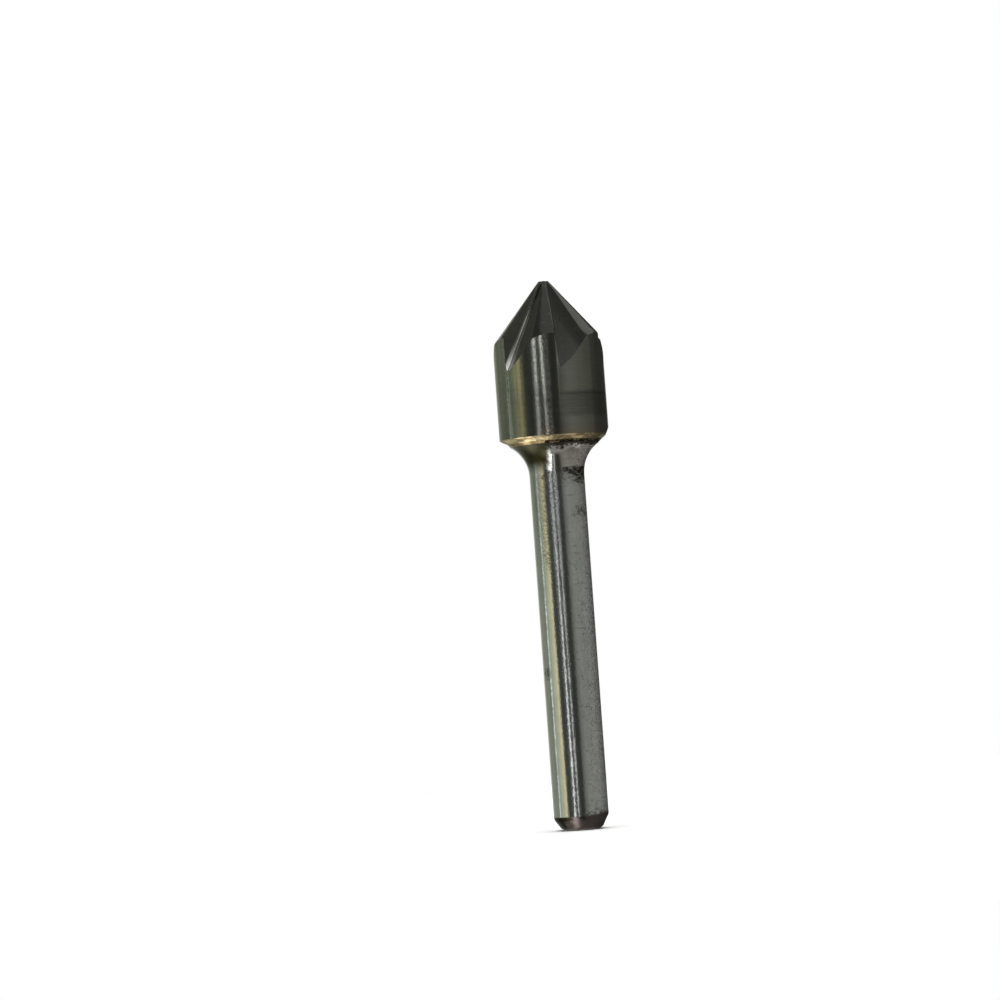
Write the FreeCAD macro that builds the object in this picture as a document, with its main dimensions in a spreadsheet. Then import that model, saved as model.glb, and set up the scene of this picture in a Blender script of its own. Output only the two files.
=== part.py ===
"""Countersink bit: a six-flute carbide head, brazed to a flared steel shank.

It stands on the end of its shank: the origin is the centre of that end, and +Z runs up
the axis to the point. All sizes are in millimetres and degrees.
"""
import FreeCAD, Part
import math
import os

import Sketcher
from FreeCAD import Vector

DRIVING_SIZES = {
    # whole bit
    "total_length": 63.5,
    # carbide head
    "head_length": 18.2,
    "head_diameter": 12.7,
    "point_angle": 82.0,
    "tip_diameter": 1.24,
    "tooth_count": 6,
    "tooth_turn": 37.0,
    # relief of the lands behind the cutting edges
    "relief_tilt": 14.8,
    "relief_sweep": 60.0,
    # flutes, whose root runs from a thin web at the tip to the side of the head
    "web_radius": 0.444,
    "flute_reach": 10.74,
    "floor_tilt": 11.4,
    "root_radius": 0.35,
    # shallow facet along the heel of each flute
    "facet_web_radius": 0.345,
    "facet_reach": 10.35,
    "facet_tilt": 8.8,
    "facet_root_radius": 0.3,
    # worn stretch of the head's rear rim
    "worn_depth": 0.35,
    "worn_height": 0.8,
    # braze between head and shank, and the fillet that it leaves round the neck
    "braze_thickness": 0.15,
    "braze_rim_inset": 0.1,
    "braze_drop": 0.55,
    # steel shank
    "shank_diameter": 6.35,
    "neck_step": 1.3,
    "neck_wall": 0.75,
    "cove_radius": 4.2,
    "chamfer_width": 0.92,
    "chamfer_height": 1.18,
}

# how far a cutting outline reaches past the metal that it takes away
CUT_MARGIN = 1.0

HEAD_RADIUS = "Sizes.head_diameter / 2"
TIP_RADIUS = "Sizes.tip_diameter / 2"
SHANK_RADIUS = "Sizes.shank_diameter / 2"
NECK_RADIUS = "Sizes.head_diameter / 2 - Sizes.neck_step"
HEAD_SEAT = "Sizes.total_length - Sizes.head_length"
ORIGIN = (-1, 1)
X_AXIS, Z_AXIS = -1, -2


def add_size_sheet(doc):
    """The sheet that holds the driving sizes, one named cell each."""
    sheet = doc.addObject("Spreadsheet::Sheet", "Sizes")
    for row, (name, value) in enumerate(DRIVING_SIZES.items(), start=1):
        sheet.set(f"A{row}", name)
        sheet.set(f"B{row}", str(value))
        sheet.setAlias(f"B{row}", name)
    doc.recompute()
    return sheet


def origin_feature(body, role):
    return next(item for item in body.Origin.OriginFeatures if item.Role == role)


def add_sketch(body, name, plane="XZ_Plane"):
    """A sketch on one of the body's own planes."""
    sketch = body.newObject("Sketcher::SketchObject", name)
    sketch.AttachmentSupport = [(origin_feature(body, plane), "")]
    sketch.MapMode = "FlatFace"
    return sketch


def turn_sketch(sketch, axis, angle):
    """Turns the sketch plane about one of its own axes by an angle from the sheet."""
    start = FreeCAD.Rotation(Vector(*axis), 30)
    sketch.AttachmentOffset = FreeCAD.Placement(Vector(), start)
    sketch.setExpression("AttachmentOffset.Rotation.Angle", angle)


def add_line(sketch, start, end, construction=False):
    line = Part.LineSegment(Vector(*start, 0), Vector(*end, 0))
    return sketch.addGeometry(line, construction)


def add_arc(sketch, centre, start, end):
    """An arc from start to end, counter-clockwise about the centre."""
    offsets = [(point[0] - centre[0], point[1] - centre[1]) for point in (start, end)]
    angles = [math.atan2(offset[1], offset[0]) for offset in offsets]
    circle = Part.Circle(Vector(*centre, 0), Vector(0, 0, 1), math.hypot(*offsets[0]))
    return sketch.addGeometry(Part.ArcOfCircle(circle, *angles), False)


def join(sketch, *ends):
    """Joins the listed ends, each given as (curve, end number), two by two."""
    for first, second in zip(ends[::2], ends[1::2]):
        sketch.addConstraint(Sketcher.Constraint("Coincident", *first, *second))


def level(sketch, *lines):
    for line in lines:
        sketch.addConstraint(Sketcher.Constraint("Horizontal", line))


def upright(sketch, *lines):
    for line in lines:
        sketch.addConstraint(Sketcher.Constraint("Vertical", line))


def set_size(sketch, kind, name, references, start_value, expression):
    """A dimension of the sketch that follows the sheet."""
    constraint = Sketcher.Constraint(kind, *references, start_value)
    index = sketch.addConstraint(constraint)
    sketch.renameConstraint(index, name)
    sketch.setExpression(f"Constraints.{name}", expression)


def set_distance_x(sketch, name, point, start_value, expression):
    set_size(sketch, "DistanceX", name, (*ORIGIN, *point), start_value, expression)


def set_distance_y(sketch, name, point, start_value, expression):
    set_size(sketch, "DistanceY", name, (*ORIGIN, *point), start_value, expression)


def revolve(body, sketch, name):
    """A full turn of the sketch about the body's upright axis."""
    turned = body.newObject("PartDesign::Revolution", name)
    turned.Profile = sketch
    turned.ReferenceAxis = (sketch, ["V_Axis"])
    turned.Angle = 360
    return turned


def cut_through(body, sketch, name):
    """A pocket that runs through the whole body on both sides of its sketch."""
    pocket = body.newObject("PartDesign::Pocket", name)
    pocket.Profile = sketch
    pocket.SideType = "Symmetric"
    pocket.Type = "ThroughAll"
    return pocket


def add_head_blank(body):
    """The ground blank: a cylinder with the cone of the point and a small flat tip."""
    sketch = add_sketch(body, "blank_outline")
    rear = add_line(sketch, (0, 0), (6.35, 0))
    side = add_line(sketch, (6.35, 0), (6.35, 11.6))
    cone = add_line(sketch, (6.35, 11.6), (0.62, 18.2))
    tip = add_line(sketch, (0.62, 18.2), (0, 18.2))
    core = add_line(sketch, (0, 18.2), (0, 0))
    join(sketch, (rear, 2), (side, 1), (side, 2), (cone, 1), (cone, 2), (tip, 1))
    join(sketch, (tip, 2), (core, 1), (core, 2), (rear, 1), (rear, 1), ORIGIN)
    level(sketch, rear, tip)
    upright(sketch, side, core)
    set_distance_x(sketch, "side_radius", (rear, 2), 6.35, HEAD_RADIUS)
    set_distance_x(sketch, "tip_radius", (tip, 1), 0.62, TIP_RADIUS)
    set_distance_y(sketch, "length", (tip, 2), 18.2, "Sizes.head_length")
    # the cone line leans back from the side's direction by half the point angle
    set_size(sketch, "Angle", "half_angle", (cone, 1, side, 2), math.radians(139),
             "180 - Sizes.point_angle / 2")
    return revolve(body, sketch, "blank")


def add_worn_rim(body):
    """A flat worn on the rear rim, on the +X side of the finished bit."""
    sketch = add_sketch(body, "worn_outline")
    turn_sketch(sketch, (0, -1, 0), "Sizes.tooth_turn")
    worn = add_line(sketch, (6, 0), (6.35, 0.8))
    top = add_line(sketch, (6.35, 0.8), (7.35, 0.8))
    outer = add_line(sketch, (7.35, 0.8), (7.35, 0))
    foot = add_line(sketch, (7.35, 0), (6, 0))
    join(sketch, (worn, 2), (top, 1), (top, 2), (outer, 1), (outer, 2), (foot, 1))
    join(sketch, (foot, 2), (worn, 1))
    level(sketch, top)
    upright(sketch, outer)
    sketch.addConstraint(Sketcher.Constraint("PointOnObject", foot, 1, X_AXIS))
    sketch.addConstraint(Sketcher.Constraint("PointOnObject", foot, 2, X_AXIS))
    set_distance_x(sketch, "worn_radius", (foot, 2), 6, f"{HEAD_RADIUS} - Sizes.worn_depth")
    set_distance_x(sketch, "side_radius", (top, 1), 6.35, HEAD_RADIUS)
    set_distance_x(sketch, "cut_radius", (top, 2), 7.35, f"{HEAD_RADIUS} + {CUT_MARGIN}")
    set_distance_y(sketch, "worn_top", (top, 1), 0.8, "Sizes.worn_height")
    return cut_through(body, sketch, "worn_rim")


def add_relief(body):
    """Lowers one land behind its cutting edge: a cone round an axis tilted to the edge."""
    sketch = add_sketch(body, "relief_outline")
    edge = add_line(sketch, (0, 18.9), (7.35, 10.5))
    outer = add_line(sketch, (7.35, 10.5), (7.35, 18.9))
    top = add_line(sketch, (7.35, 18.9), (0, 18.9))
    axis = add_line(sketch, (0, 18.9), (5.0, 0), construction=True)
    join(sketch, (edge, 2), (outer, 1), (outer, 2), (top, 1), (top, 2), (edge, 1))
    join(sketch, (axis, 1), (edge, 1))
    level(sketch, top)
    upright(sketch, outer)
    sketch.addConstraint(Sketcher.Constraint("PointOnObject", edge, 1, Z_AXIS))
    sketch.addConstraint(Sketcher.Constraint("PointOnObject", axis, 2, X_AXIS))
    set_distance_x(sketch, "cut_radius", (edge, 2), 7.35, f"{HEAD_RADIUS} + {CUT_MARGIN}")
    set_distance_y(sketch, "apex_height", (edge, 1), 18.9,
                   f"Sizes.head_length + {TIP_RADIUS} / tan(Sizes.point_angle / 2)")
    set_size(sketch, "Angle", "edge_angle", (edge, 1, top, 2), math.radians(49),
             "90 - Sizes.point_angle / 2")
    set_size(sketch, "Angle", "axis_angle", (axis, 1, top, 2), math.radians(75.2),
             "90 - Sizes.relief_tilt")
    relief = body.newObject("PartDesign::Groove", "relief")
    relief.Profile = sketch
    relief.ReferenceAxis = (sketch, ["Axis0"])
    relief.setExpression("Angle", "Sizes.relief_sweep")
    return relief


def add_flute_cut(body, name, web_radius, reach, tilt, root_radius):
    """One straight cut along its root, with a radial cutting face and a tilted floor.

    The root starts web_radius from the axis at the tip and leaves the head's side at
    reach below the tip. The sketch lies square to the root: its x runs up the cutting
    face, and its y runs across the flute.
    """
    sketch = add_sketch(body, f"{name}_outline", "XY_Plane")
    turn_sketch(sketch, (0, -1, 0), f"atan(({HEAD_RADIUS} - {web_radius}) / {reach})")
    sketch.setExpression("AttachmentOffset.Base.x", web_radius)
    sketch.setExpression("AttachmentOffset.Base.z", "Sizes.head_length")
    face = add_line(sketch, (0.43, 0), (12.7, 0))
    outer = add_line(sketch, (12.7, 0), (12.7, 12.7))
    top = add_line(sketch, (12.7, 12.7), (2.5, 12.7))
    floor = add_line(sketch, (2.5, 12.7), (0.08, 0.42))
    root = add_arc(sketch, (0.43, 0.35), (0.08, 0.42), (0.43, 0))
    join(sketch, (face, 2), (outer, 1), (outer, 2), (top, 1), (top, 2), (floor, 1))
    level(sketch, top)
    upright(sketch, outer)
    sketch.addConstraint(Sketcher.Constraint("Tangent", floor, 2, root, 1))
    sketch.addConstraint(Sketcher.Constraint("Tangent", root, 2, face, 1))
    sketch.addConstraint(Sketcher.Constraint("PointOnObject", face, 1, X_AXIS))
    sketch.addConstraint(Sketcher.Constraint("PointOnObject", face, 2, X_AXIS))
    # the floor's line runs through the sharp corner that the root radius rounds
    sketch.addConstraint(Sketcher.Constraint("PointOnObject", *ORIGIN, floor))
    set_distance_x(sketch, "cut_height", (outer, 1), 12.7, "Sizes.head_diameter")
    set_distance_y(sketch, "cut_width", (outer, 2), 12.7, "Sizes.head_diameter")
    set_size(sketch, "Radius", "root_radius", (root,), 0.35, root_radius)
    set_size(sketch, "Angle", "opening_angle", (X_AXIS, 1, floor, 2), math.radians(78.6),
             f"90 - {tilt}")
    return cut_through(body, sketch, name)


def make_carbide_head(doc):
    """The solid carbide head, with its flutes ground round the point."""
    body = doc.addObject("PartDesign::Body", "carbide_head")
    add_head_blank(body)
    add_worn_rim(body)
    relief = add_relief(body)
    flute = add_flute_cut(body, "flute", "Sizes.web_radius", "Sizes.flute_reach",
                          "Sizes.floor_tilt", "Sizes.root_radius")
    facet = add_flute_cut(body, "heel_facet", "Sizes.facet_web_radius", "Sizes.facet_reach",
                          "Sizes.facet_tilt", "Sizes.facet_root_radius")
    teeth = body.newObject("PartDesign::PolarPattern", "teeth")
    teeth.Originals = [relief, flute, facet]
    teeth.Axis = (origin_feature(body, "Z_Axis"), [""])
    teeth.Angle = 360
    teeth.setExpression("Occurrences", "Sizes.tooth_count")
    body.Tip = teeth
    body.Placement = FreeCAD.Placement(Vector(), FreeCAD.Rotation(Vector(0, 0, 1), 30))
    body.setExpression("Placement.Base.z", HEAD_SEAT)
    body.setExpression("Placement.Rotation.Angle", "Sizes.tooth_turn")
    return body


def make_braze_joint(doc):
    """The braze: a thin disc under the head, and the hollow fillet round the neck."""
    body = doc.addObject("PartDesign::Body", "braze_joint")
    sketch = add_sketch(body, "braze_outline")
    rim, foot = (6.25, 0), (5.05, -0.7)
    top = add_line(sketch, (0, 0), rim)
    hollow = add_arc(sketch, (6.25, -1.379), rim, foot)
    wall = add_line(sketch, foot, (5.05, -0.15))
    seat = add_line(sketch, (5.05, -0.15), (0, -0.15))
    core = add_line(sketch, (0, -0.15), (0, 0))
    join(sketch, (hollow, 2), (wall, 1), (wall, 2), (seat, 1), (seat, 2), (core, 1))
    join(sketch, (core, 2), (top, 1), (top, 1), ORIGIN)
    # molten braze wets the head's face, so the hollow runs out flat at its rim
    sketch.addConstraint(Sketcher.Constraint("Tangent", top, 2, hollow, 1))
    level(sketch, top, seat)
    upright(sketch, wall, core)
    set_distance_x(sketch, "rim_radius", (top, 2), 6.25, f"{HEAD_RADIUS} - Sizes.braze_rim_inset")
    set_distance_x(sketch, "neck_radius", (seat, 1), 5.05, NECK_RADIUS)
    set_size(sketch, "DistanceY", "thickness", (seat, 2, *ORIGIN), 0.15, "Sizes.braze_thickness")
    set_size(sketch, "DistanceY", "drop", (hollow, 2, seat, 1), 0.55, "Sizes.braze_drop")
    body.Tip = revolve(body, sketch, "braze")
    body.setExpression("Placement.Base.z", HEAD_SEAT)
    return body


def make_steel_shank(doc):
    """The turned and ground steel shank, flared by a cove to the seat of the head."""
    body = doc.addObject("PartDesign::Body", "steel_shank")
    sketch = add_sketch(body, "shank_outline")
    flare = (5.05, 44.4)
    blend = (3.175, 40.9)
    end = add_line(sketch, (0, 0), (2.255, 0))
    chamfer = add_line(sketch, (2.255, 0), (3.175, 1.18))
    side = add_line(sketch, (3.175, 1.18), blend)
    cove = add_arc(sketch, (7.375, 40.9), flare, blend)
    wall = add_line(sketch, flare, (5.05, 45.15))
    seat = add_line(sketch, (5.05, 45.15), (0, 45.15))
    core = add_line(sketch, (0, 45.15), (0, 0))
    join(sketch, (end, 2), (chamfer, 1), (chamfer, 2), (side, 1), (cove, 1), (wall, 1))
    join(sketch, (wall, 2), (seat, 1), (seat, 2), (core, 1), (core, 2), (end, 1))
    join(sketch, (end, 1), ORIGIN)
    sketch.addConstraint(Sketcher.Constraint("Tangent", side, 2, cove, 2))
    level(sketch, end, seat)
    upright(sketch, side, wall, core)
    set_distance_x(sketch, "end_radius", (end, 2), 2.255,
                   f"{SHANK_RADIUS} - Sizes.chamfer_width")
    set_distance_x(sketch, "shank_radius", (side, 1), 3.175, SHANK_RADIUS)
    set_distance_y(sketch, "chamfer_top", (side, 1), 1.18, "Sizes.chamfer_height")
    set_distance_x(sketch, "neck_radius", (seat, 1), 5.05, NECK_RADIUS)
    set_distance_y(sketch, "seat_height", (seat, 1), 45.15,
                   f"{HEAD_SEAT} - Sizes.braze_thickness")
    set_size(sketch, "DistanceY", "neck_wall", (wall, 1, wall, 2), 0.75, "Sizes.neck_wall")
    set_size(sketch, "Radius", "cove_radius", (cove,), 4.2, "Sizes.cove_radius")
    body.Tip = revolve(body, sketch, "shank")
    return body


def check_model(doc, bodies):
    """Stops where any object failed, or a piece is not one valid solid."""
    for item in doc.Objects:
        if "Invalid" in item.State or "Error" in item.State:
            raise RuntimeError(f"{item.Label} failed: {item.State}")
    for body in bodies:
        if body.Shape.isNull() or not body.Shape.isValid():
            raise RuntimeError(f"{body.Label} has no valid shape")
        if len(body.Shape.Solids) != 1:
            raise RuntimeError(f"{body.Label} has {len(body.Shape.Solids)} solids")


def export_pieces(bodies):
    os.makedirs("parts", exist_ok=True)
    for body in bodies:
        body.Shape.exportStep(f"parts/{body.Label}.step")
        box = body.Shape.BoundBox
        print(f"{body.Label}: {body.Shape.Volume:.2f} mm3, z {box.ZMin:.3f} to {box.ZMax:.3f}")


document = FreeCAD.newDocument("countersink_bit")
add_size_sheet(document)
pieces = [make_carbide_head(document), make_braze_joint(document), make_steel_shank(document)]
document.recompute()
check_model(document, pieces)
export_pieces(pieces)
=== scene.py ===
from math import atan2, cos, pi, radians, sin

import bmesh
import bpy
from mathutils import Matrix, Vector, noise


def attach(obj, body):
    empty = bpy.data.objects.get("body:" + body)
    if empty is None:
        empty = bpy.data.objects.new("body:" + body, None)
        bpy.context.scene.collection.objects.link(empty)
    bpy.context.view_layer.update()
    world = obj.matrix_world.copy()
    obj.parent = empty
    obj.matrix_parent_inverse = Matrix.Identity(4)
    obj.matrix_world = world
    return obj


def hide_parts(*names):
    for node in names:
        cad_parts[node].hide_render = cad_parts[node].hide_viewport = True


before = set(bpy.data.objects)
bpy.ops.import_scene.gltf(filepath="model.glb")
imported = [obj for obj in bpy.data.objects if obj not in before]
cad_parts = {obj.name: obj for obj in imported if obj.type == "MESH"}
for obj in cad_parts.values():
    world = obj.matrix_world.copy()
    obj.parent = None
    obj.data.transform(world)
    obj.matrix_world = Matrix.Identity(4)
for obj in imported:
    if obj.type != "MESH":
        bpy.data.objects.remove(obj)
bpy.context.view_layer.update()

# ---------------------------------------------------------------- camera
# A long lens stands 0.4 m in front of the bit, a little over the floor. It looks
# slightly up and is rolled, so that the bit leans as it does in the photograph.
MM = 0.001
spot = Vector((-6.774, -404.445, 19.978)) * MM
look_up, roll = radians(2.63), radians(-4.0698)
ahead = Vector((0, cos(look_up), sin(look_up)))
level_right = Vector((1, 0, 0))
level_up = level_right.cross(ahead)
right = cos(roll) * level_right + sin(roll) * level_up
up = cos(roll) * level_up - sin(roll) * level_right
lens = bpy.data.cameras.new("long_lens")
lens.lens, lens.sensor_width = 126, 36
lens.clip_start, lens.clip_end = 10 * MM, 5000 * MM
camera = bpy.data.objects.new("camera", lens)
camera.matrix_world = (Matrix.Translation(spot)
                       @ Matrix((right, up, -ahead)).transposed().to_4x4())
bpy.context.collection.objects.link(camera)
bpy.context.scene.camera = camera
bpy.context.scene.view_settings.view_transform = "Standard"


# ---------------------------------------------------------------- studio
# The bit is lit by a white room: soft boxes and strip lights stand round it, and the
# polished metal shows each of them as an upright band. The wall behind it is white.
class Wire:
    """A socket of a node tree, so that shader maths reads as plain sums."""

    def __init__(self, tree, socket=None):
        self.tree, self.socket = tree, socket

    def node(self, kind, settings=None, sockets=None, out=0):
        """Adds a node of any kind: its settings, then its sockets' values or links."""
        made = self.tree.nodes.new(kind)
        for name, value in (settings or {}).items():
            setattr(made, name, value)
        for name, value in (sockets or {}).items():
            if isinstance(value, Wire):
                self.tree.links.new(value.socket, made.inputs[name])
            else:
                made.inputs[name].default_value = value
        return Wire(self.tree, made.outputs[out] if made.outputs else None)

    def maths(self, operation, other=0.0, swapped=False):
        """A step of arithmetic with another number, which comes first when swapped."""
        first, second = (other, self) if swapped else (self, other)
        return self.node("ShaderNodeMath", {"operation": operation}, {0: first, 1: second})

    def __add__(self, other):
        return self.maths("ADD", other)

    __radd__ = __add__

    def __sub__(self, other):
        return self.maths("SUBTRACT", other)

    def __rsub__(self, other):
        return self.maths("SUBTRACT", other, swapped=True)

    def __mul__(self, other):
        return self.maths("MULTIPLY", other)

    __rmul__ = __mul__

    def __truediv__(self, other):
        return self.maths("DIVIDE", other)

    def __rtruediv__(self, other):
        return self.maths("DIVIDE", other, swapped=True)

    def over(self, low, high):
        """Rises smoothly from 0 at low to 1 at high, or falls where low is the larger."""
        return self.node("ShaderNodeMapRange", {"interpolation_type": "SMOOTHSTEP"},
                         {"Value": self, "From Min": low, "From Max": high})

    def within(self, low, high, soft):
        """1 between low and high, and 0 further than soft outside them."""
        return self.over(low - soft, low) * self.over(high + soft, high)

    def mixed(self, first, second):
        """Mixes two colours, which are sockets 6 and 7, with this number as the factor."""
        return self.node("ShaderNodeMix", {"data_type": "RGBA"},
                         {0: self, 6: first, 7: second}, 2)

    def ramp(self, stops):
        """Reads a colour off a row of (place, colour) stops, with places from 0 to 1."""
        read = self.node("ShaderNodeValToRGB", sockets={"Fac": self})
        band = read.socket.node.color_ramp.elements
        while len(band) < len(stops):
            band.new(1)
        for stop, (place, colour) in zip(band, stops):
            stop.position, stop.color = place, (*colour, 1)
        return read


IN_DEGREES, IN_RADIANS = 180 / pi, pi / 180
FULL_TURN = 360
# the world's strength: the colours inside it are shares of this radiance
BRIGHTEST = 4


def share(*tone):
    """A radiance of red, green and blue, as a share of the brightest."""
    return tuple(part / BRIGHTEST for part in tone)


room = bpy.data.worlds.new("white_room")
room.use_nodes = True
room.node_tree.nodes.clear()
light = Wire(room.node_tree)
toward = light.node("ShaderNodeTexCoord", out="Generated")
east, north, height = (light.node("ShaderNodeSeparateXYZ", sockets={0: toward}, out=axis)
                       for axis in "XYZ")
# degrees round from the camera to the right, and degrees above the floor
around = east.maths("ARCTAN2", -1 * north) * IN_DEGREES
above = height.maths("ARCSINE") * IN_DEGREES

# the upright faces of each part of the bit mirror the room at these heights
by_bar_top = above.within(1.9, 3.6, 0.5)
by_head = above.within(3.7, 20, 0.2)
by_head_top = (above - 4.05).maths("MAXIMUM", 0.0).maths("MINIMUM", 1.0)
upright = above.within(-58, 20, 12)

# wide walls: (degrees round, radiance of red, green and blue)
wall_tones = [
    (-180, (0.6, 0.62, 0.56)), (-154, (0.43, 0.45, 0.39)), (-138, (0.26, 0.28, 0.22)),
    (-114, (0.16, 0.18, 0.125)), (-104, (0.17, 0.19, 0.14)), (-92, (0.36, 0.41, 0.33)),
    (-86, (0.34, 0.385, 0.3)), (-80, (0.47, 0.505, 0.37)), (-74, (0.5, 0.5, 0.33)),
    (-69, (0.63, 0.59, 0.35)), (-64, (0.76, 0.705, 0.42)), (-60, (0.68, 0.63, 0.39)),
    (-57, (0.3, 0.29, 0.19)), (-54, (0.1, 0.097, 0.07)), (-48, (0.06, 0.064, 0.055)),
    (-38, (0.06, 0.066, 0.062)), (-31, (0.1, 0.104, 0.098)), (-27, (0.12, 0.125, 0.12)),
    (-16, (0.1, 0.105, 0.1)), (-6, (0.1, 0.105, 0.095)), (1, (0.045, 0.048, 0.041)),
    (14, (0.045, 0.048, 0.042)), (25, (0.2, 0.205, 0.187)), (40, (0.28, 0.285, 0.265)),
    (56, (0.25, 0.255, 0.23)), (70, (0.21, 0.215, 0.193)), (94, (0.15, 0.15, 0.13)),
    (104, (0.075, 0.075, 0.068)), (162, (0.05, 0.05, 0.045)), (180, (0.6, 0.62, 0.56)),
]
# over the horizon the walls slant to the left, and more so at the left
rise = above.maths("MAXIMUM", 0.0)
slant = rise.maths("MINIMUM", 4.0)
bearing = around + slant * (1 + 0.6 * around.within(-180, -50, 15))
walls = (bearing / FULL_TURN + 0.5).ramp(
    [(0.5 + place / FULL_TURN, share(*tone)) for place, tone in wall_tones])

# upright strip lights, two thin ones at the left and a bright pair in front: how each
# leans, its degrees round as (from, to, soft edge), and its radiance
edge_line = around + 5.6 * by_head
left_of_pair = (around + (rise * 3).maths("MINIMUM", 7.0) + 2.4 * by_bar_top
                - 1.6 * by_head)
right_of_pair = around - slant * 1.8 - 1.2 * by_bar_top
strips = [
    (edge_line, (-98.9, -97.3, 0.9), 0.95 + by_head_top),
    (around, (-80.6, -79.0, 0.8), by_head * 0.4),
    (left_of_pair, (-27.2, -23.4, 1), 0.72 - 0.18 * by_head + 1.7 * by_head_top),
    (left_of_pair, (-28, -22.8, 1), above.within(-60, -1.2, 1.2) * 0.5),
    (right_of_pair, (-11.2, -8.2, 1), (1 - by_head) * 0.68),
    (around, (-15.4, -12.4, 1), by_head * (0.92 + 1.9 * by_head_top)),
]

# soft boxes: degrees round and degrees above, each as (from, to, soft edge), the
# radiance, and the part of the bit that mirrors the box
EVERYWHERE = (-181, 181, 1)
soft_boxes = [
    ((-130, -57.5, 2), (-25, 1.0, 1.5), 0.09),   # lower bar, at the left
    ((-36, -23, 3), (-60, -13, 4), 3.6),         # cove, as a long highlight
    ((-68, -38, 4), (-72, -58, 3), 2.8),         # top of the cove
    ((-152, -112, 14), (-58, -50, 6), 2.2),      # braze, at the left
    ((-130, -50, 12), (-73, -64, 4), 0.7),       # braze, in front
    ((125, 160, 20), (-64, -54, 9), 0.7),        # braze, at the right
    (EVERYWHERE, (-95, -72, 12), 0.26),          # all that looks down
    ((24, 50, 5), (26, 34, 2.5), 0.13),          # floor of the left flute
    ((-14, 14, 5), (38, 47, 3), 0.28),           # face of the left flute
    ((-85, -18, 3), (47.5, 54, 1.5), 0.95),      # root of the left flute
    ((-45, -12.5, 1), (56, 64, 2), 0.1),         # outer facet of the right flute
    ((20, 80, 4), (50, 68, 4), 0.24),            # edge of the right flute's tooth
    ((104, 150, 5), (36, 60, 3), 0.24),          # land at the right
    ((-180, -120, 5), (36, 60, 3), 0.2),         # land at the left
    (EVERYWHERE, (74, 95, 6), 0.085),            # all that looks up
]
# patches of wall that only some heights see, lighter or darker than the rest of it
patches = [
    ((-52, -40, 4), by_bar_top, 0.04),
    ((-1, 14, 3), by_bar_top, 0.025),
    ((-101, -75, 1.5), by_head * upright, -0.11),
    ((-77.3, -74.8, 0.8), by_head * upright, -0.14),
    ((-128, -106, 8), by_head_top * upright, 0.16),
    ((92, 110, 5), by_head_top * upright, 0.035),
]
cards = 0
for leaning, sides, radiance in strips:
    cards += leaning.within(*sides) * upright * radiance
for sides, heights, radiance in soft_boxes:
    cards += around.within(*sides) * above.within(*heights) * radiance
for sides, seen_by, radiance in patches:
    cards += around.within(*sides) * seen_by * radiance

# over and under the walls the room is dim, and the camera itself sees plain white
walled = upright.mixed((*share(0.06, 0.0612, 0.0552), 1), walls)
lit = light.node("ShaderNodeMix",
                 {"data_type": "RGBA", "blend_type": "ADD", "clamp_result": False},
                 {0: 1.0, 6: walled, 7: cards / BRIGHTEST}, 2)
seen = light.node("ShaderNodeLightPath", out="Is Camera Ray")
shown = seen.mixed(lit, (*share(1, 1, 1), 1))
glow = light.node("ShaderNodeBackground", sockets={"Color": shown, "Strength": BRIGHTEST})
light.node("ShaderNodeOutputWorld", sockets={"Surface": glow})
bpy.context.scene.world = room

# ---------------------------------------------------------------- floor
# A plain white round table top, lit evenly from above, under the end of the shank.
# The metal doesn't mirror it, and shows the room there instead.
TABLE_RADIUS = 150
LAMP_WIDTH, LAMP_HEIGHT, LAMP_WATTS = 500, 450, 3.1
shape = bmesh.new()
bmesh.ops.create_circle(shape, cap_ends=True, segments=128, radius=TABLE_RADIUS * MM)
table_top = bpy.data.meshes.new("floor")
shape.to_mesh(table_top)
shape.free()
floor = bpy.data.objects.new("floor", table_top)
bpy.context.collection.objects.link(floor)
white = bpy.data.materials.new("white_table")
white.use_nodes = True
for name, value in (("Base Color", (0.9, 0.9, 0.9, 1)), ("Roughness", 0.9),
                    ("Specular IOR Level", 0)):
    white.node_tree.nodes["Principled BSDF"].inputs[name].default_value = value
table_top.materials.append(white)
floor.visible_glossy = False

lamp = bpy.data.lights.new("overhead", "AREA")
lamp.shape, lamp.size, lamp.energy = "DISK", LAMP_WIDTH * MM, LAMP_WATTS
overhead = bpy.data.objects.new("overhead", lamp)
overhead.location = (0, 0, LAMP_HEIGHT * MM)
overhead.visible_glossy = overhead.visible_camera = False
bpy.context.collection.objects.link(overhead)

# ---------------------------------------------------------------- steel shank
# The shank is turned from a round steel bar, with a cove up to the wide neck that carries
# the head, and ground. Its end has a chamfer, blackened by heat, and painted shade darkens
# the chamfer's left side.
STEPS_ROUND = 192


def spun(outline):
    """A turned piece: its outline of (radius, height) points, spun once round the axis."""
    shape = bmesh.new()
    points = [shape.verts.new((radius * MM, 0, z * MM)) for radius, z in outline]
    edges = [shape.edges.new(pair) for pair in zip(points, points[1:])]
    bmesh.ops.spin(shape, geom=points + edges, cent=(0, 0, 0), axis=(0, 0, 1),
                   dvec=(0, 0, 0), angle=2 * pi, steps=STEPS_ROUND, use_merge=True,
                   use_duplicate=False)
    bmesh.ops.remove_doubles(shape, verts=shape.verts, dist=0.0005 * MM)
    bmesh.ops.recalc_face_normals(shape, faces=shape.faces)
    return shape


def arc(centre, radius, first, last, steps):
    """Points of an arc in an outline, from one angle to the other, in degrees."""
    for step in range(steps + 1):
        angle = radians(first + (last - first) * step / steps)
        yield centre[0] + radius * cos(angle), centre[1] + radius * sin(angle)


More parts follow.
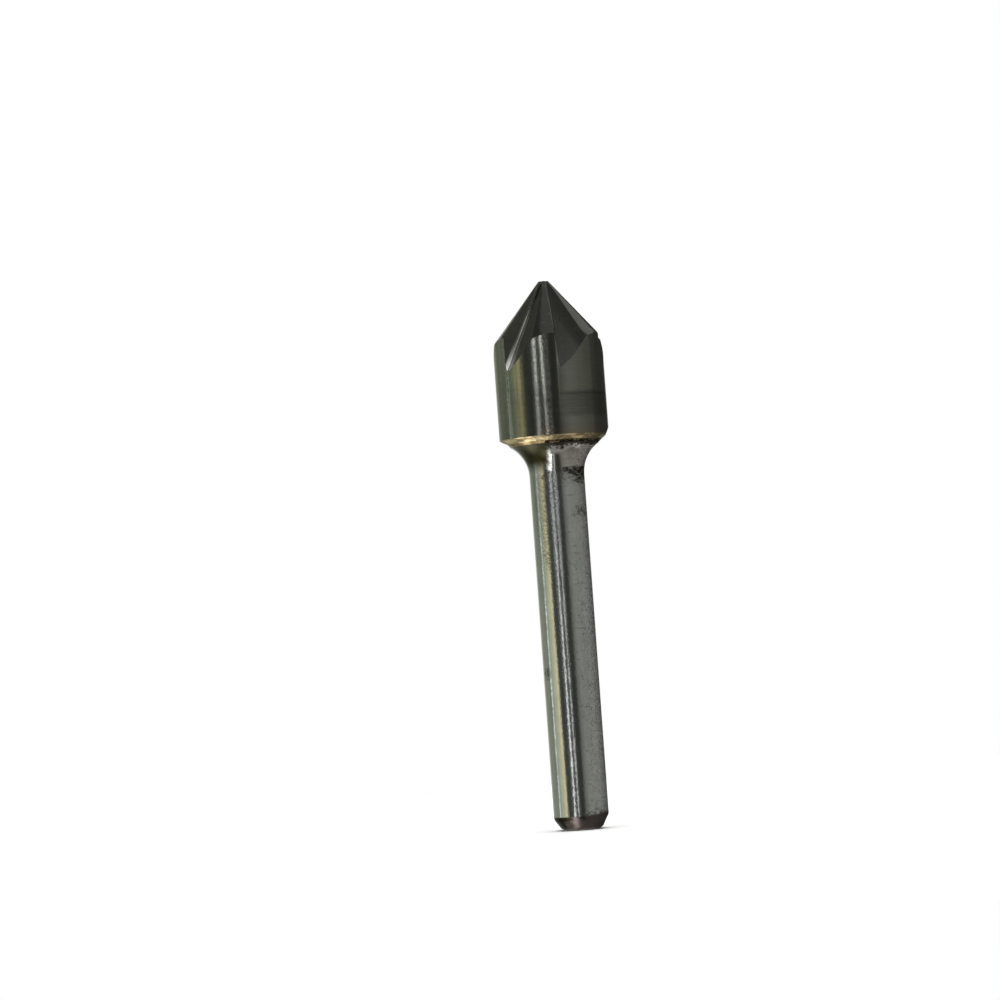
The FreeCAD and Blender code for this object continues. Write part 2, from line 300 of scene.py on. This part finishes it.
def set_out(name, shape, material, node, smooth_under):
    """Makes a finished mesh the piece that stands for a node of the solids."""
    for face in shape.faces:
        face.smooth = True
    for edge in shape.edges:
        edge.smooth = edge.calc_face_angle(0) < radians(smooth_under)
    mesh = bpy.data.meshes.new(name)
    shape.to_mesh(mesh)
    shape.free()
    mesh.materials.append(material)
    piece = bpy.data.objects.new(name, mesh)
    bpy.context.collection.objects.link(piece)
    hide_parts(node)
    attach(piece, "root")
    return piece


def metal(name):
    """A new metal, and a wire that knows its shader and each point's place in mm."""
    made = bpy.data.materials.new(name)
    made.use_nodes = True
    paint = Wire(made.node_tree)
    paint.shader = made.node_tree.nodes["Principled BSDF"]
    place = paint.node("ShaderNodeTexCoord", out="Object")
    paint.place = paint.node("ShaderNodeVectorMath", {"operation": "SCALE"},
                             {0: place, "Scale": 1 / MM})
    paint.x, paint.y, paint.z = (
        paint.node("ShaderNodeSeparateXYZ", sockets={0: paint.place}, out=axis)
        for axis in "XYZ")
    # degrees round the axis, from the front to the right
    paint.side = paint.x.maths("ARCTAN2", -1 * paint.y) * IN_DEGREES
    return made, paint


def grain(paint, size, detail, stretch, shift=0.0, rough=0.5):
    """Noise between 0 and 1, with spots of a size in mm, drawn out along the axes."""
    scaled = paint.node("ShaderNodeVectorMath", {"operation": "MULTIPLY_ADD"},
                        {0: paint.place, 1: tuple(1 / (size * s) for s in stretch),
                         2: (shift,) * 3})
    return paint.node("ShaderNodeTexNoise", {"noise_dimensions": "3D"},
                      {"Vector": scaled, "Scale": 1.0, "Detail": detail,
                       "Roughness": rough}, "Fac")


def smudge(paint, heights, sides, wander, drift):
    """A stain between heights in mm and sides in degrees, and how far both stray."""
    return (paint.z + wander).within(*heights) * (paint.side + drift).within(*sides)


def feed(paint, value, name):
    """Links a value to a socket of the material's shader."""
    paint.tree.links.new(value.socket, paint.shader.inputs[name])


def bump(paint, height, depth):
    """Links a height between 0 and 1, with its depth in mm, to the shader's normal."""
    feed(paint, paint.node("ShaderNodeBump",
                           sockets={"Strength": 1.0, "Distance": depth * MM,
                                    "Height": height}, out="Normal"), "Normal")


steel, paint = metal("ground_steel")
paint.shader.inputs["Metallic"].default_value = 1
# fine marks of grinding and drawing, cloudy tones, and the ragged edges of stains
rings = grain(paint, 0.12, 3, (10, 10, 1))
specks = grain(paint, 0.2, 1, (1, 1, 1.5), 3)
draws = grain(paint, 0.2, 2, (1.2, 1.2, 9), 21)
mottle = grain(paint, 1.3, 5, (1, 1, 1.6), 7, 0.6)
blots = grain(paint, 0.5, 5, (2.2, 2.2, 0.8), 13, 0.7)
flecks = grain(paint, 0.22, 4, (1.8, 1.8, 0.9), 31, 0.7)
ragged = (mottle - 0.5) * 1.2 + (blots - 0.5) * 0.8
broken = (mottle - 0.5) * 1.6 + (flecks - 0.5) * 2.2

# a brown heat stain below the cove, in two parts, with a haze round it
heat_stain = (smudge(paint, (40.95, 41.62, 0.18), (22, 78, 12), ragged * 0.25,
                     ragged * 40)
              * blots.over(0.34, 0.5)
              + smudge(paint, (39.95, 40.75, 0.3), (38, 74, 14), ragged * 0.5, ragged * 40)
              * blots.over(0.42, 0.56))
haze = (smudge(paint, (40.4, 41.4, 0.6), (14, 76, 24), broken * 0.5, broken * 40)
        * (0.12 + 0.4 * flecks.over(0.44, 0.62)))
# burnt flux under the braze at the right, and olive soot in the cove at the left
flux_line = (paint.z + ragged * 0.5 + broken * 0.2
             + paint.side.within(-30, 8, 14) * 0.3).over(43.95, 44.2)
flux = (flux_line * (paint.side + ragged * 26).within(-22, 100, 8)
        * (flecks + paint.z.over(44.0, 44.5) * 0.2).over(0.44, 0.54))
soot = ((paint.z + ragged * 0.8).over(40.6, 42.7)
        * (paint.side + ragged * 16).within(-72, -17, 12))
# small faint stains: high at the right, low at the left, and two over the left bands
faint = ((smudge(paint, (36.3, 36.9, 0.5), (42, 66, 16), broken * 0.7, broken * 30) * 0.6
          + smudge(paint, (17.9, 18.4, 0.6), (-64, -56, 10), broken * 0.8, broken * 30)
          + smudge(paint, (31, 40, 2), (-42, -28, 6), broken * 2, broken * 10) * 0.4
          + smudge(paint, (40.8, 41.2, 0.4), (-32, -19, 8), broken * 0.5,
                   broken * 20) * 0.7)
         * flecks.over(0.4, 0.58))
# scuffs over the chamfer, and pits, short scratches and specks on the right side
scuffs = ((paint.z + ragged * 1.6).over(3.3, 1.5)
          * (paint.side + ragged * 40).within(14, 120, 16)
          * (flecks + paint.z.over(2.4, 1.5) * 0.16).over(0.5, 0.62))
pits = ((grain(paint, 0.3, 1, (1.5, 1.5, 0.8), 11)
         + 0.03 * paint.z.within(17, 30, 2)).over(0.725, 0.775)
        * paint.x.over(0.3, 1.6))
scratches = (grain(paint, 0.35, 3, (5, 5, 0.8), 17).over(0.6, 0.72)
             * paint.x.over(0.2, 1.2) * 0.3)
dots = ((grain(paint, 0.16, 2, (1, 1, 2.4), 41) + 0.05 * (mottle - 0.5)).over(0.56, 0.7)
        * paint.x.over(0.6, 1.8) * (0.3 + 0.7 * paint.z.within(7, 30, 5)) * 0.42)
# the upper bar is a little duller at the left
film = ((paint.z + ragged).over(32, 37)
        * (paint.side + ragged * 8).within(-58, -28, 6) * 0.2)
burnt = heat_stain
for stain in (haze, flux, soot, faint, scuffs * 0.8, pits * 0.8, scratches, dots, film):
    burnt = burnt.maths("MAXIMUM", stain)
burnt = burnt.maths("MINIMUM", 1.0)

# the chamfer is uneven: its upper line rises by up to UNEVEN mm at the right, from
# LOW_SIDE degrees round on, and the black ends along it. The points that rise with it
# lie between TOP_FROM and TOP_TO.
LOW_SIDE, UNEVEN = 6, 0.28
TOP_FROM, TOP_TO = 1.0, 1.7
raised = ((paint.side - LOW_SIDE) * IN_RADIANS).maths("SINE").maths("MAXIMUM", 0.0) * UNEVEN
black_end = (paint.z + ragged * 0.12 - raised).over(1.68, 1.54)

bare = mottle.mixed((0.5, 0.515, 0.5, 1), (0.75, 0.76, 0.74, 1))
# heat has tinted the cove brown at the right
heated = ((paint.z + ragged * 0.6).over(41.2, 42.2)
          * (paint.side + ragged * 20).within(2, 110, 14))
tinted = (heated * 0.6).mixed(bare, (0.6, 0.52, 0.46, 1))
scorched = blots.mixed((0.025, 0.018, 0.014, 1), (0.12, 0.095, 0.08, 1))
olive = soot.mixed(scorched, (0.055, 0.05, 0.026, 1))
stained = burnt.mixed(tinted, olive)
# the chamfer's heat-blackening is darker toward the left: painted shade on that side,
# fading out to the right
painted_left_shade_fade = (paint.side + ragged * 30).over(-55, 5)
char_with_painted_shade = mottle.mixed(painted_left_shade_fade.mixed((0.012, 0.011, 0.005, 1), (0.1, 0.085, 0.078, 1)),
                    painted_left_shade_fade.mixed((0.03, 0.027, 0.013, 1), (0.24, 0.2, 0.19, 1)))
feed(paint, black_end.mixed(stained, char_with_painted_shade), "Base Color")
# the right side is dulled by a thin grey film
dulled = paint.side.over(14, 58) * (1 - 0.5 * paint.side.over(46, 74))
feed(paint, 1 - dulled * 0.28 * (1 - burnt), "Metallic")
feed(paint, 0.08 + 0.06 * specks + 0.2 * burnt + 0.1 * dulled + 0.2 * black_end,
     "Roughness")
# the cove is smoother than the ground bar
coarse = 1 - 0.75 * paint.z.over(41.0, 42.2)
bump(paint, rings * 0.5 + specks * 0.9 * coarse + draws * 0.2 - burnt * 0.4, 0.009)

bar = spun([
    (0, 0),
    *arc((1.78, 0.85), 0.85, -90, -35, 8),       # rounded edge of the end
    *arc((2.275, 1.6), 0.9, -35, 0, 8),          # rounded top of the chamfer
    *arc((7.375, 40.902), 4.2, 180, 123.6, 28),  # cove
    (5.05, 45.15), (0, 45.15),                   # neck and the flat face under the braze
])
for vert in bar.verts:
    if TOP_FROM * MM < vert.co.z < TOP_TO * MM and vert.co.x > 0:
        side = atan2(vert.co.x, -vert.co.y)
        vert.co.z += UNEVEN * max(0, sin(side - radians(LOW_SIDE))) * MM
set_out("shank", bar, steel, "steel_shank", 40)

# ---------------------------------------------------------------- braze
# Brass braze, drawn into the joint between steel and carbide by heat. It froze as a
# thin layer and as an uneven golden fillet in the corner under the head.
HEAD_SEAT = 45.3
BRAZE_RIM = 6.25
brass, paint = metal("flowed_braze")
paint.shader.inputs["Metallic"].default_value = 1
ripple = grain(paint, 0.6, 2, (2, 2, 0.8), 5)
blots = grain(paint, 0.4, 4, (2, 2, 0.8), 13, 0.7)
scorch = grain(paint, 0.7, 3, (2.2, 2.2, 0.7), 9).over(0.42, 0.68)
# the foot of the fillet is browned, and crusted with flux at the right
foot = (paint.z + (ripple - 0.5) * 0.5).over(44.95, 44.55)
crust = ((paint.z + (blots - 0.5) * 0.5).over(44.86, 44.66)
         * (paint.side + (ripple - 0.5) * 40).within(-14, 100, 8) * blots.over(0.36, 0.46))
gold = ripple.mixed((0.42, 0.28, 0.11, 1), (0.88, 0.74, 0.45, 1))
browned = (scorch * 0.75).maths("MAXIMUM", foot * 0.6).mixed(gold, (0.15, 0.095, 0.04, 1))
feed(paint, crust.mixed(browned, (0.03, 0.02, 0.018, 1)), "Base Color")
feed(paint, 0.2 + 0.12 * ripple + 0.2 * scorch + 0.2 * crust, "Roughness")
bump(paint, ripple + 0.6 * crust, 0.06)

fillet = spun([
    (0, HEAD_SEAT), (BRAZE_RIM, HEAD_SEAT), (6.15, 45.21), (6.0, 45.12), (5.85, 45.04),
    (5.7, 44.96), (5.55, 44.87), (5.4, 44.76), (5.26, 44.62), (5.14, 44.47),
    (4.95, 44.4), (4.9, 45.2), (0, 45.2),
])
# the fillet has lumps about 1.1 and 0.4 mm wide, which fade out toward the rim
for vert in fillet.verts:
    radius = vert.co.xy.length / MM
    if 5.0 < radius < 6.2 and vert.co.z < 45.25 * MM:
        lump = noise.noise(vert.co * 900) + 0.4 * noise.noise(vert.co * 2300)
        free = min(1, (BRAZE_RIM - radius) / 0.3)
        vert.co.xy *= 1 + 0.013 * lump * free
        vert.co.z += 0.1 * lump * free * MM
    # the rim is worn flat with the head's at the right
    vert.co.x = min(vert.co.x, (5.98 - 1.1 * (HEAD_SEAT - vert.co.z / MM)) * MM)
set_out("braze", fillet, brass, "braze_joint", 60)

# ---------------------------------------------------------------- carbide head
# Sintered tungsten carbide, ground all over: the cone, the six flutes and the body.
# Its edges are honed by use. The wheel leaves fine rings, so reflections run upright.
POINT = 63.5
# one flute stands at FLUTE_SIDE degrees round, and another every FLUTE_PITCH from it
FLUTE_SIDE, FLUTE_PITCH = -53, 60
# the root of a flute starts beside the axis at the point, and runs out going down
ROOT_START, ROOT_SLOPE = 0.444, 0.55
# an edge is sharp where its faces turn by more than this
SHARP = radians(16)
carbide, paint = metal("ground_carbide")
rings = grain(paint, 0.12, 3, (12, 12, 1))
specks = grain(paint, 0.2, 1, (1, 1, 1.5), 3)
mottle = grain(paint, 1.8, 4, (1, 1, 1.2), 7)
wide_rings = grain(paint, 0.5, 4, (9, 9, 1), 4)
flecks = grain(paint, 0.25, 3, (3, 3, 0.8), 19)
# a darker band round the body at the right, with a scratch along its top and fine
# marks of the wheel in it
band = ((paint.z + mottle * 0.8 - 0.4).within(47.6, 50.0, 0.5)
        * paint.side.within(22, 120, 16))
scratch = paint.z.within(49.8, 50.0, 0.12) * paint.side.within(9, 120, 5)
combed = ((paint.z * 18).maths("SINE") * paint.z.within(47.7, 49.3, 0.2)
          * paint.side.within(15, 38, 5))
# the body is a little duller low down, in front and at the left
film = ((paint.z + mottle).over(53, 50)
        * (paint.side.within(-22, -1, 4) + paint.side.within(-50, -31, 3)))
# a painted highlight along the root of each flute, bright where it runs out of the side and
# strongest at the left: each point's place is taken from its own flute, across it and
# outward along it
half_pitch = FLUTE_PITCH / 2
turned = ((paint.side - (FLUTE_SIDE - half_pitch)).maths("FLOORED_MODULO", FLUTE_PITCH)
          - half_pitch) * IN_RADIANS
from_axis = (paint.x * paint.x + paint.y * paint.y).maths("SQRT")
across = from_axis * turned.maths("SINE")
outward = from_axis * turned.maths("COSINE")
off_root = outward - (ROOT_START + ROOT_SLOPE * (POINT - paint.z))
painted_root_highlight = (across.within(0.01, 0.22, 0.05) * off_root.within(-0.1, 0.5, 0.15)
          * from_axis.over(6.33, 6.25) * (paint.z + mottle * 0.8).over(57.5, 53.2)
          * (0.3 + 0.7 * paint.side.within(-90, -36, 8)))
# small light nicks round the middle of the cone, and a worn light point
nicks = flecks.over(0.6, 0.7) * (paint.z + mottle).within(58.2, 60.2, 0.6) * 0.35
tip = (paint.z + specks * 0.6).over(62.9, 63.6) * flecks.over(0.5, 0.62) * 0.8
tone = (0.68 + 0.2 * mottle + 0.22 * wide_rings + 0.25 * rings - 0.3 * band
        - 0.16 * scratch + 0.05 * combed - 0.2 * film + nicks + tip)
bare = paint.node("ShaderNodeMix", {"data_type": "RGBA", "clamp_factor": False},
                  {0: tone, 6: (0, 0, 0, 1), 7: (0.3, 0.307, 0.272, 1)}, 2)
# heat has tinted the rim over the braze brown
heated = ((paint.z + mottle * 0.8).over(47.2, 45.9)
          * (paint.side + mottle * 30).within(10, 70, 24))
tinted = (heated * 0.55).mixed(bare, (0.34, 0.27, 0.21, 1))
# the painted highlight on the flute roots is a near-white, less metallic colour
feed(paint, painted_root_highlight.mixed(tinted, (0.95, 0.95, 0.92, 1)), "Base Color")
feed(paint, 1 - 0.9 * painted_root_highlight, "Metallic")
feed(paint, 0.095 + 0.07 * specks + 0.05 * band, "Roughness")
bump(paint, rings * 0.6 + specks * 0.7, 0.007)


def sharp_edges(shape):
    return [edge for edge in shape.edges if edge.calc_face_angle(0) > SHARP]


def honed(shape, edges, width, segments):
    """Rounds edges of the ground head over a width in mm."""
    bmesh.ops.bevel(shape, geom=edges, offset=width * MM, offset_type="OFFSET",
                    segments=segments, profile=0.5, affect="EDGES", clamp_overlap=True,
                    material=-1)


shape = bmesh.new()
shape.from_mesh(bpy.data.objects["carbide_head"].data)
bmesh.ops.remove_doubles(shape, verts=shape.verts, dist=0.001 * MM)
bmesh.ops.dissolve_limit(shape, angle_limit=radians(0.4), verts=shape.verts,
                         edges=shape.edges)
# the heel of the tooth at the right has lost its corner
HEEL_LOW, HEEL_HIGH, HEEL_REACH = 56.9, 57.6, 1.2
heel = max((vert.co for vert in shape.verts
            if HEEL_LOW * MM < vert.co.z < HEEL_HIGH * MM),
           key=lambda place: place.x).copy()
worn = [edge for edge in sharp_edges(shape)
        if max((vert.co - heel).length for vert in edge.verts) < HEEL_REACH * MM]
honed(shape, worn, width=0.16, segments=3)
honed(shape, sharp_edges(shape), width=0.035, segments=2)
head = set_out("head", shape, carbide, "carbide_head", 70)
soften = head.modifiers.new("ground_faces", "WEIGHTED_NORMAL")
soften.mode, soften.weight, soften.keep_sharp = "FACE_AREA", 100, True
